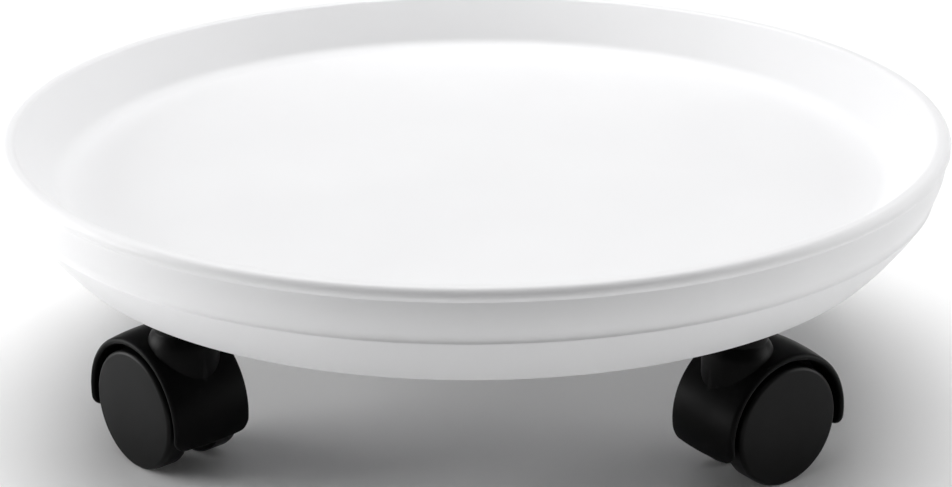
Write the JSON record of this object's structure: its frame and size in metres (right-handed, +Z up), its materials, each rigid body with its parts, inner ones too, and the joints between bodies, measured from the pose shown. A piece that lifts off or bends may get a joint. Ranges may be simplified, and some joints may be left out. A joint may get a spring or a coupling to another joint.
{
  "type": "plant pot caddy",
  "caption": "Round white moulded saucer with a stepped skirt, on black hooded twin-wheel swivel casters, for rolling a heavy plant pot about.",
  "frame": {"origin": "on the ground, under the middle of the tray", "axes": "+Z up; the two front casters are toward -Y, at 45 degrees on either side; +X is the caddy's right seen from the front"},
  "size_m": [0.305, 0.305, 0.0875],
  "materials": {
    "tray_plastic": "satin white polypropylene, moulded",
    "hood_plastic": "fine satin black nylon",
    "wheel_plastic": "smooth satin black nylon",
    "steel_pin": "zinc-plated, turned",
    "spring_steel": "dull spring steel"
  },
  "bodies": {
    "tray": {"tray": "tray_plastic", "front_left_stem": "steel_pin", "front_left_grip_ring": "spring_steel", "front_right_stem": "steel_pin", "front_right_grip_ring": "spring_steel", "rear_right_stem": "steel_pin", "rear_right_grip_ring": "spring_steel", "rear_left_stem": "steel_pin", "rear_left_grip_ring": "spring_steel"},
    "front_left_caster": {"front_left_hood": "hood_plastic", "front_left_axle": "steel_pin"},
    "front_left_left_wheel": {"front_left_left_wheel": "wheel_plastic"},
    "front_left_right_wheel": {"front_left_right_wheel": "wheel_plastic"},
    "front_right_caster": {"front_right_hood": "hood_plastic", "front_right_axle": "steel_pin"},
    "front_right_left_wheel": {"front_right_left_wheel": "wheel_plastic"},
    "front_right_right_wheel": {"front_right_right_wheel": "wheel_plastic"},
    "rear_right_caster": {"rear_right_hood": "hood_plastic", "rear_right_axle": "steel_pin"},
    "rear_right_left_wheel": {"rear_right_left_wheel": "wheel_plastic"},
    "rear_right_right_wheel": {"rear_right_right_wheel": "wheel_plastic"},
    "rear_left_caster": {"rear_left_hood": "hood_plastic", "rear_left_axle": "steel_pin"},
    "rear_left_left_wheel": {"rear_left_left_wheel": "wheel_plastic"},
    "rear_left_right_wheel": {"rear_left_right_wheel": "wheel_plastic"}
  },
  "joints": [
    {"name": "front_left_swivel", "type": "hinge", "parent": "tray", "child": "front_left_caster", "pos_m": [-0.08344, -0.08344, 0.043], "axis": [0, 0, 1], "continuous": true},
    {"name": "front_left_left_roll", "type": "hinge", "parent": "front_left_caster", "child": "front_left_left_wheel", "pos_m": [-0.08991, -0.07719, 0.019], "axis": [0.6947, 0.7193, 0], "continuous": true},
    {"name": "front_left_right_roll", "type": "hinge", "parent": "front_left_caster", "child": "front_left_right_wheel", "pos_m": [-0.08991, -0.07719, 0.019], "axis": [0.6947, 0.7193, 0], "continuous": true},
    {"name": "front_right_swivel", "type": "hinge", "parent": "tray", "child": "front_right_caster", "pos_m": [0.08344, -0.08344, 0.043], "axis": [0, 0, 1], "continuous": true},
    {"name": "front_right_left_roll", "type": "hinge", "parent": "front_right_caster", "child": "front_right_left_wheel", "pos_m": [0.09043, -0.07777, 0.019], "axis": [0.6293, -0.7771, 0], "continuous": true},
    {"name": "front_right_right_roll", "type": "hinge", "parent": "front_right_caster", "child": "front_right_right_wheel", "pos_m": [0.09043, -0.07777, 0.019], "axis": [0.6293, -0.7771, 0], "continuous": true},
    {"name": "rear_right_swivel", "type": "hinge", "parent": "tray", "child": "rear_right_caster", "pos_m": [0.08344, 0.08344, 0.043], "axis": [0, 0, 1], "continuous": true},
    {"name": "rear_right_left_roll", "type": "hinge", "parent": "rear_right_caster", "child": "rear_right_left_wheel", "pos_m": [0.07921, 0.09138, 0.019], "axis": [0.8829, 0.4695, 0], "continuous": true},
    {"name": "rear_right_right_roll", "type": "hinge", "parent": "rear_right_caster", "child": "rear_right_right_wheel", "pos_m": [0.07921, 0.09138, 0.019], "axis": [0.8829, 0.4695, 0], "continuous": true},
    {"name": "rear_left_swivel", "type": "hinge", "parent": "tray", "child": "rear_left_caster", "pos_m": [-0.08344, 0.08344, 0.043], "axis": [0, 0, 1], "continuous": true},
    {"name": "rear_left_left_roll", "type": "hinge", "parent": "rear_left_caster", "child": "rear_left_left_wheel", "pos_m": [-0.07528, 0.08724, 0.019], "axis": [0.4226, -0.9063, 0], "continuous": true},
    {"name": "rear_left_right_roll", "type": "hinge", "parent": "rear_left_caster", "child": "rear_left_right_wheel", "pos_m": [-0.07528, 0.08724, 0.019], "axis": [0.4226, -0.9063, 0], "continuous": true}
  ]
}
